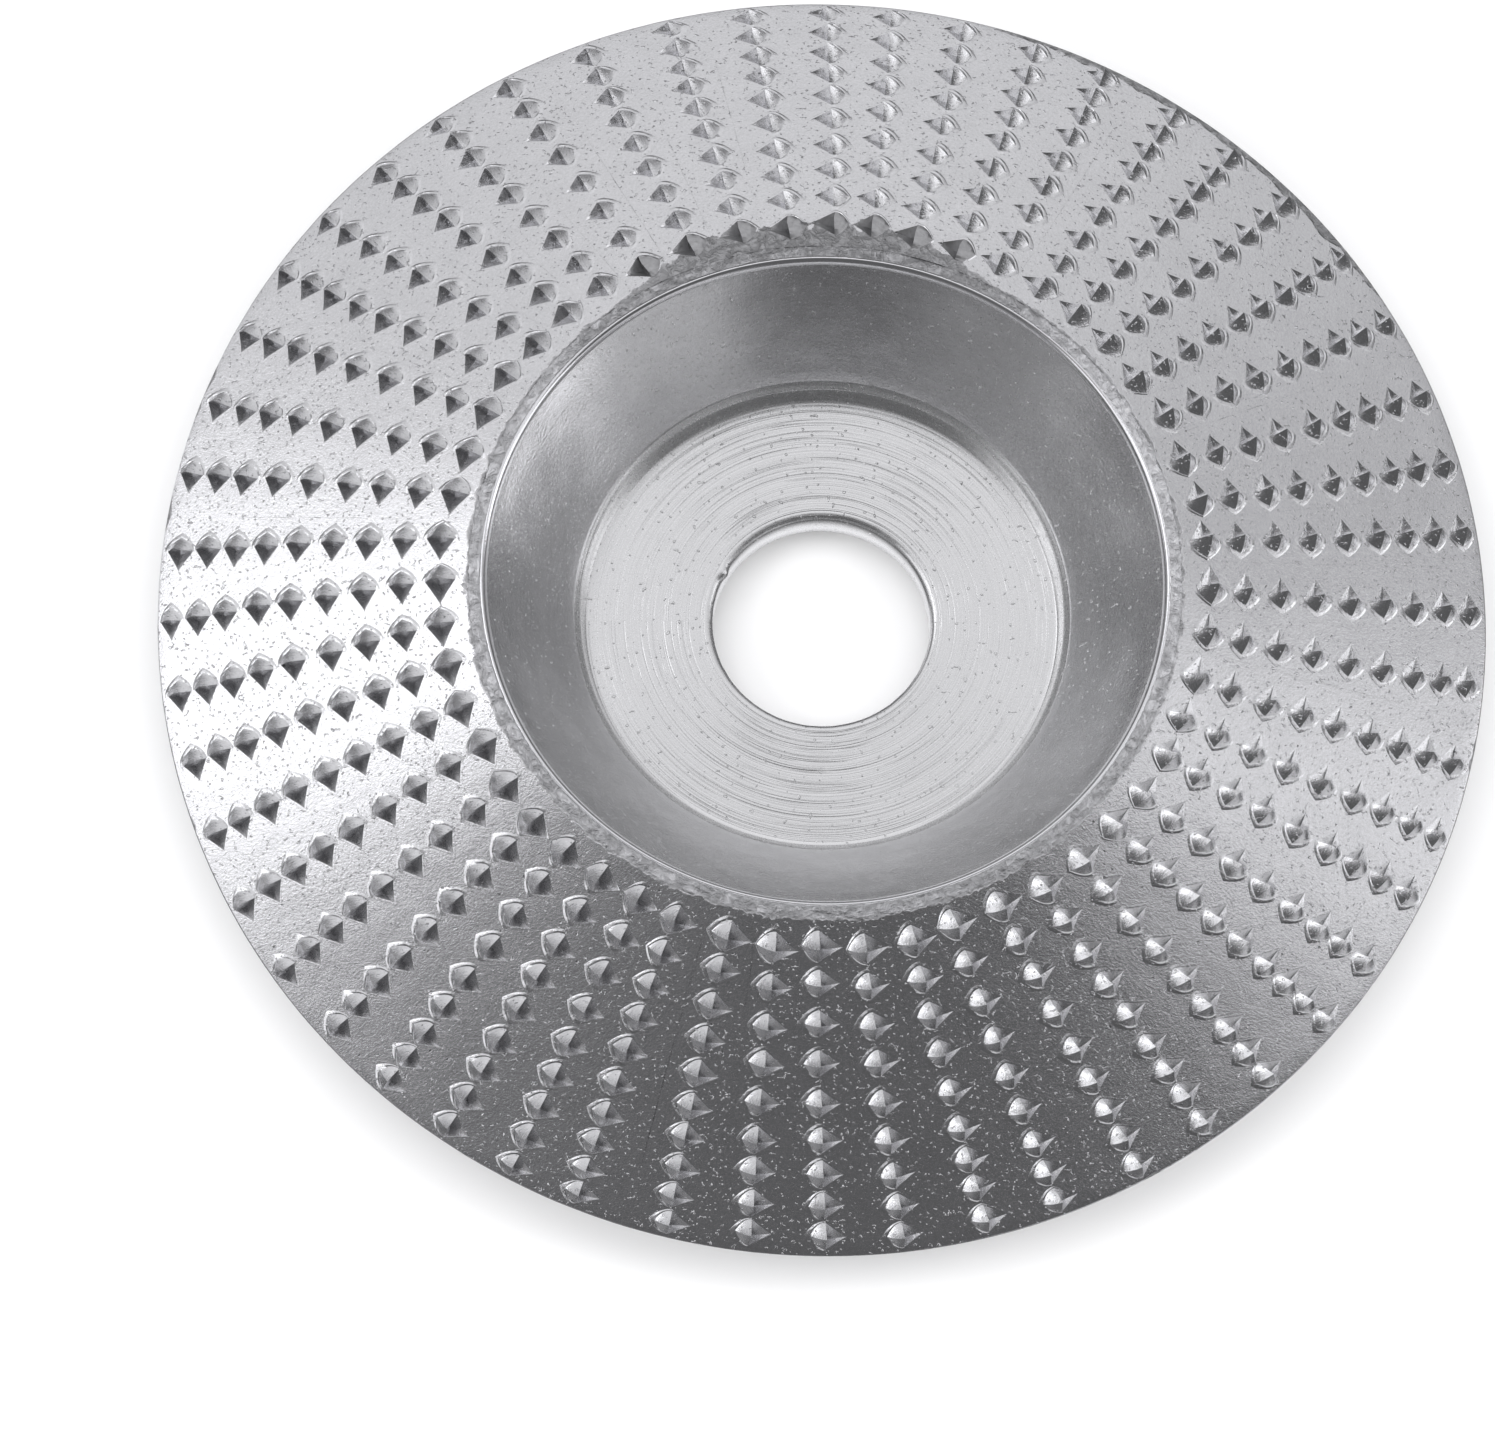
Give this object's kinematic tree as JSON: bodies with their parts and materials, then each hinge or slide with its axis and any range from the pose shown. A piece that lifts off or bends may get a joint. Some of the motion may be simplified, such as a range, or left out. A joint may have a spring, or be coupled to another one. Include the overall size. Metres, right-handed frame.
{
  "type": "angle grinder carving disc",
  "caption": "Dished steel carving disc for an angle grinder, with radial rows of raised rasp teeth on a conical face and a recessed hub with a central bore.",
  "frame": {"origin": "centre of the hub's flat back face, on the spindle axis", "axes": "+Z along the spindle axis, out of the toothed working face"},
  "size_m": [0.098, 0.098, 0.0131],
  "materials": {
    "plated_steel": "satin",
    "turned_steel": "fine turned"
  },
  "bodies": {
    "root": {"hub_flange": "turned_steel", "dish_wall": "plated_steel", "crest_ring": "turned_steel", "rasp_plate": "plated_steel", "tooth_ring_1": "plated_steel", "tooth_ring_2": "plated_steel", "tooth_ring_3": "plated_steel", "tooth_ring_4": "plated_steel", "tooth_ring_5": "plated_steel", "tooth_ring_6": "plated_steel", "tooth_ring_7": "plated_steel", "tooth_ring_8": "plated_steel", "tooth_ring_9": "plated_steel"}
  },
  "joints": []
}
